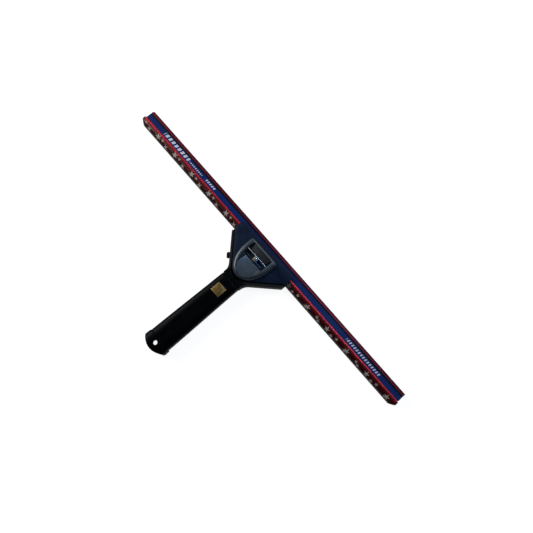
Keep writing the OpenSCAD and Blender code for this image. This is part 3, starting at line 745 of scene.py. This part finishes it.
def make_frame():
    """Lower jaw, rim and neck in one moulding, with a core that fills the neck out to the grip."""
    bm = solid_of("frame")
    wide = neck_high.x - 0.0003
    tall = set(upright_edges(bm))
    upright = [e for e in sharp_edges(bm) if e in tall and abs(e.verts[0].co.x) > wide]
    round_off(bm, upright, 2.0, 5)
    rim = plate_high.z - 0.0021

    def on_outside(vert):
        x, depth = abs(vert.co.x), depth_of(vert.co.y) * MM
        if abs(vert.co.z - neck_high.z) < 0.0001:
            return x > 0.0134 and depth > 0.05
        return abs(vert.co.z - rim) < 0.0001 and (x > wide or x + depth > wide + 0.0262)

    outer = [e for e in sharp_edges(bm) if all(on_outside(v) for v in e.verts)]
    round_off(bm, outer, 1.1, 4, clamp=False)
    shoulder = Vector((0.0135, y_at(57.36)))
    rest = [e for e in sharp_edges(bm, 50)
            if all((Vector((abs(v.co.x), v.co.y)) - shoulder).length > 0.0026 for v in e.verts)
            and not any(abs(v.co.z - rim) < 0.0012 and abs(v.co.x) > wide for v in e.verts)]
    round_off(bm, rest, 0.3, 2, clamp=False)
    neck_end = depth_of(grip_high.y)
    core = block(13.1, neck_end - 1, neck_end + 6, 1.0, 17.3)
    round_off(core, core.edges, 2.2, 3)
    join(bm, core)
    add_piece("frame_body", bm, "handle", ["frame"], materials["frame"])


# ---------------------------------------------------------------- jaw

def make_plate():
    bm = solid_of("jaw_plate")
    top = plate_high.z
    front = [e for e in sharp_edges(bm) if all(abs(v.co.z - top) < 1e-5 and v.co.y > plate_high.y - 1e-5
                                               for v in e.verts)]
    round_off(bm, front, 0.9, 3)
    rest = [e for e in sharp_edges(bm, 40) if all(v.co.z > plate_high.z - 0.0037 for v in e.verts)]
    round_off(bm, rest, 0.4, 2, clamp=False)
    add_piece("plate_body", bm, "jaw", ["jaw_plate"], materials["plate"])


def d_point(turn, half, front, back, z, middle):
    """A point of a D shape in plan: rounded square corners at the front, an ellipse behind the middle."""
    squareness = 9.0
    side, ahead = math.cos(turn), math.sin(turn)
    if ahead >= 0:
        x = half * power_of(side, 2 / squareness)
        depth = middle - (middle - front) * power_of(ahead, 2 / squareness)
    else:
        x = half * side
        depth = middle - (back - middle) * ahead
    return Vector((x * MM, y_at(depth), z * MM))


def make_lever():
    """Thumb lever: a raised D-shaped collar, a thumb dish inside it, and the floor of its window."""
    top = lever_high.z / MM
    foot = plate_high.z / MM
    half = lever_high.x / MM
    front, back = depth_of(lever_high.y), depth_of(lever_low.y)
    middle = front + 11.6

    def collar_point(turn, ring):
        inward, z = ring
        share = min(1.0, inward / 7.3)
        ahead = front + inward * between(1.0, 0.40, share)
        behind = back - inward * between(1.0, 0.36, share)
        spot = d_point(turn, half - inward, ahead, behind, z, middle)
        if z < foot and spot.y > plate_low.y - 0.0003:
            spot.z = foot * MM
        return spot

    rings = [(0.55, foot - 4), (0.1, foot - 3), (0.0, foot), (0.25, foot + 1.2), (0.6, foot + 2.2),
             (1.1, top - 1.45), (1.8, top - 0.85), (2.7, top - 0.4), (3.8, top - 0.12), (4.9, top),
             (5.7, top - 0.1), (6.2, top - 0.45), (6.5, top - 1.2), (6.9, foot + 1.2), (7.5, foot + 0.02)]
    bm = ring_loft(rings, collar_point, 144, hollow=True)
    add_piece("lever_collar", bm, "jaw", ["thumb_lever"], materials["lever"])

    lip = front + 19.8
    crest = top - 0.9

    def dish_point(angle, ring):
        wide, inset, drop = ring
        widest = between(lip + 12.6, 39.5, wide / 15.3)
        spot = d_point(angle, wide, lip + inset, back - 2.3 - inset, 0, widest)
        if drop is None:
            spot.z = (foot + 0.02) * MM
            return spot
        along = max(0.0, depth_of(spot.y) - lip)
        floor = between(foot + 0.7, crest, min(1.0, along / (back - 4.5 - lip)) ** 0.8)
        wall = max(0.0, min(1.0, (abs(spot.x) / MM - 10.6) / 4.2))
        hollow = 0.35 * (1 - min(1.0, (spot.x / MM / 10.6) ** 2))
        spot.z = (between(floor, crest, wall * wall * (3 - 2 * wall)) - drop - hollow) * MM
        return spot

    rings = [(15.3, 0, None), (15.3, 0, 0.5), (15.2, 0.12, 0.25), (15.0, 0.35, 0.05), (14.5, 0.7, 0),
             (14.0, 1.1, 0), (13.4, 1.5, 0), (12.8, 1.9, 0), (12.2, 2.4, 0), (11.6, 2.9, 0), (11.0, 3.4, 0),
             (10.5, 3.9, 0), (9.8, 4.5, 0), (8.4, 5.8, 0), (6.8, 7.2, 0), (4.6, 9.2, 0), (2.4, 11, 0),
             (0.6, 12.4, 0)]
    bm = ring_loft(rings, dish_point, 144)
    add_piece("lever_dish", bm, "jaw", [], materials["lever"])

    window = block(11.9, front + 2.6, front + 11.9, foot + 0.02, foot + 0.3)
    for vert in window.verts:
        if vert.co.y > y_at(front + 6):
            vert.co.x *= 1.17
            if vert.co.z > (foot + 0.2) * MM:
                vert.co.z = (foot + 3.0) * MM
    round_off(window, window.edges, 0.1, 2)
    add_piece("lever_window_floor", window, "jaw", [], materials["window"])


def make_clip():
    bm = solid_of("lever_clip")
    round_off(bm, sharp_edges(bm, 40), 0.12, 2, clamp=False)
    add_piece("clip_blade", bm, "jaw", ["lever_clip"], materials["steel"])
    bm = solid_of("clip_screw")
    rim = [e for e in sharp_edges(bm, 40) if all(v.co.z > 0.0195 for v in e.verts)]
    round_off(bm, rim, 0.35, 3, clamp=False)
    add_piece("clip_screw_head", bm, "jaw", ["clip_screw"], materials["brass"])
    bm = solid_of("clip_nut")
    round_off(bm, sharp_edges(bm, 40), 0.15, 2, clamp=False)
    add_piece("clip_nut_square", bm, "jaw", ["clip_nut"], materials["steel"])


# ---------------------------------------------------------------- blade

def make_blade():
    bm = solid_of("channel")
    add_piece("channel_body", bm, "blade_channel", ["channel"], materials["red"], 28)
    bm = solid_of("label_strip")
    add_piece("label_film", bm, "blade_channel", ["label_strip"], materials["blue"])
    bm = solid_of("blade_rubber")
    add_piece("rubber_strip", bm, "rubber", ["blade_rubber"], materials["rubber"])
    for side in ("left", "right"):
        node = f"end_plug_{side}"
        bm = solid_of(node)
        round_off(bm, sharp_edges(bm, 50), 0.2, 2, clamp=False)
        add_piece(f"{side}_end_plug", bm, f"{side}_plug", [node], materials["plug"])


# ---------------------------------------------------------------- small parts

def make_small_parts():
    rows = [("badge_plate", "badge", "handle", "badge_brass", "badge", 0.25),
            ("hinge_axle", "hinge_pin", "handle", "pin_steel", "steel", 0.3),
            ("cap_screw_head", "cap_screw", "handle", "screw_steel", "steel", 0.15),
            ("base_cushion", "base_pad", "handle", "pad_rubber", "pad", 0.2),
            ("return_spring", "jaw_spring", "handle", "spring_steel", "steel", 0),
            ("jaw_cushion", "jaw_pad", "jaw", "pad_rubber", "pad", 0.15),
            ("lock_knob", "lock_button", "lock", "lock_plastic", "lock", 0),
            ("lock_seal", "lock_ring", "lock", "pad_rubber", "pad", 0)]
    for name, node, body, slot, material, radius in rows:
        bm = solid_of(node)
        if radius:
            round_off(bm, sharp_edges(bm, 50), radius, 3, clamp=False)
        add_piece(name, bm, body, [node], materials[material])


# ---------------------------------------------------------------- making

add_camera()
add_world()
add_floor()
add_lamp("key", (-1.1, -0.3, 0.75), (0, 0, 0), (0.9, 0.7), 14.0)
add_lamp("window", (0.12, 0.62, 1.1), (0, 0.03, 0), (0.26, 0.14), 3.3, (0.34, 0.62, 1.0))
add_lamp("back", (-0.2, 1.3, 0.7), (0, 0, 0), (1.4, 0.4), 5.0)

effects = {"mould_grain": make_mould_grain(), "scuffs": make_scuffs(), "drawn_lines": make_drawn_lines(),
           "star": make_star(), "slant_bars": make_slant_bars()}

materials = {
    # The frame's neck gets painted shade.
    "frame": moulded_plastic("frame_plastic", paint(35, 36, 35), paint(41, 42, 41), 0.42, specular=0.06,
                             neck=True),
    "grip": moulded_plastic("grip_rubber", paint(1, 2, 3), paint(3, 4, 6), 0.38, 2200.0, 0.00002, 0.05),
    "cap": moulded_plastic("cap_plastic", paint(1, 2, 3), paint(3, 4, 6), 0.38, 2600.0, 0.00002, 0.05),
    "plate": moulded_plastic("plate_plastic", paint(17, 26, 42), paint(21, 33, 54), 0.42, 1800.0,
                             0.00003, 0.08),
    "lever": moulded_plastic("lever_plastic", paint(46, 53, 61), paint(53, 60, 68), 0.3, 3000.0,
                             0.000004, 0.55),
    "window": moulded_plastic("window_plastic", paint(36, 39, 42), paint(42, 45, 47), 0.5, specular=0.2),
    "steel": bright_metal("clip_steel", paint(196, 198, 200), paint(222, 223, 224), 0.34, (0.05, 1.0, 1.0),
                          CLIP_PAINTED_GLINT_Y),
    "brass": bright_metal("clip_brass", paint(206, 196, 160), paint(226, 220, 196), 0.28, (1.0, 1.0, 1.0)),
    "badge": badge_metal(),
    "red": red_channel_metal(),
    "blue": blue_label_print(),
    "rubber": moulded_plastic("blade_rubber", paint(8, 8, 9), paint(12, 12, 13), 0.5, 2200.0, 0.00002, 0.2),
    "plug": moulded_plastic("plug_plastic", paint(10, 10, 11), paint(15, 15, 16), 0.4, specular=0.25),
    "lock": moulded_plastic("lock_plastic", paint(8, 8, 10), paint(12, 12, 14), 0.35, specular=0.25),
    "pad": moulded_plastic("pad_rubber", paint(14, 14, 15), paint(20, 20, 21), 0.7, 1600.0, 0.00006, 0.2),
}

make_frame()
make_grip()
make_panel_ribs()
make_cap()
make_plate()
make_lever()
make_clip()
make_blade()
make_small_parts()

bpy.context.scene.view_settings.view_transform = "Standard"
